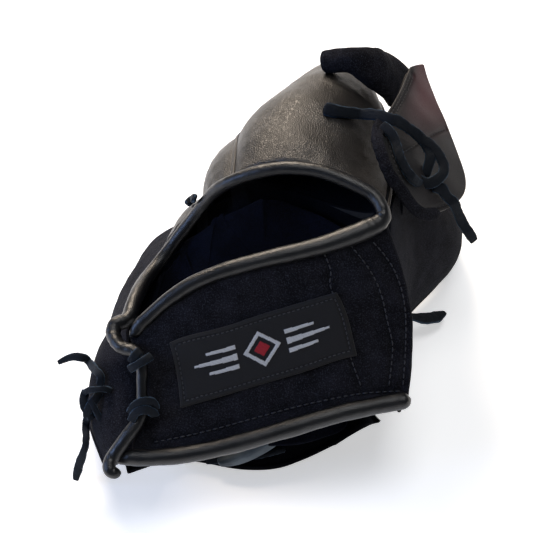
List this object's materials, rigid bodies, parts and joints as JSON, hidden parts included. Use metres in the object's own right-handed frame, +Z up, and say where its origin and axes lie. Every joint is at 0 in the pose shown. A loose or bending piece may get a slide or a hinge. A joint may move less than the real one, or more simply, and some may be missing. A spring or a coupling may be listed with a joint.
{
  "type": "fielder's glove",
  "caption": "Soft leather catching glove for the left hand, lying palm down, with laced web, open back, wrist strap and rolled edges.",
  "frame": {"origin": "on the floor under the middle of the glove's box, its loose lace tails left out", "axes": "+Z up as it lies palm down, +Y from the wrist towards the fingertips, +X towards the thumb"},
  "size_m": [0.2048, 0.2328, 0.13],
  "materials": {
    "smooth_leather": "black full-grain cowhide, fine grain, satin",
    "rough_leather": "black rough-out suede, matte nap",
    "lining_leather": "dark navy soft lining leather, matte",
    "woven_patch": "woven patch with a stitched border",
    "rawhide_lace": "dry blue-black rawhide lace"
  },
  "bodies": {
    "root": {"palm": "smooth_leather", "pinky_front": "smooth_leather", "ring_front": "smooth_leather", "middle_front": "smooth_leather", "index_front": "smooth_leather", "thumb_front": "smooth_leather", "ring_back": "smooth_leather", "middle_back": "smooth_leather", "index_back": "smooth_leather", "pinky_back": "rough_leather", "thumb_back": "rough_leather", "wrist_strap": "rough_leather", "web_crossbar": "rough_leather", "web_tongue": "smooth_leather", "upper_rim_roll": "smooth_leather", "lower_rim_roll": "smooth_leather", "hem_roll": "smooth_leather", "strap_end_roll": "smooth_leather", "hand_lining": "lining_leather", "label_patch": "woven_patch", "web_lace_left": "rawhide_lace", "web_lace_loop": "rawhide_lace", "web_lace_right": "rawhide_lace", "web_knot": "rawhide_lace", "side_lace_upper": "rawhide_lace", "side_lace_lower": "rawhide_lace", "side_knot": "rawhide_lace", "side_lace_tail_a": "rawhide_lace", "side_lace_tail_b": "rawhide_lace", "thumb_lace_end": "rawhide_lace", "ring_lace_end": "rawhide_lace", "tip_lace_a": "rawhide_lace", "tip_lace_b": "rawhide_lace", "tip_lace_c": "rawhide_lace", "heel_lace_a": "rawhide_lace", "heel_lace_b": "rawhide_lace"}
  },
  "joints": []
}
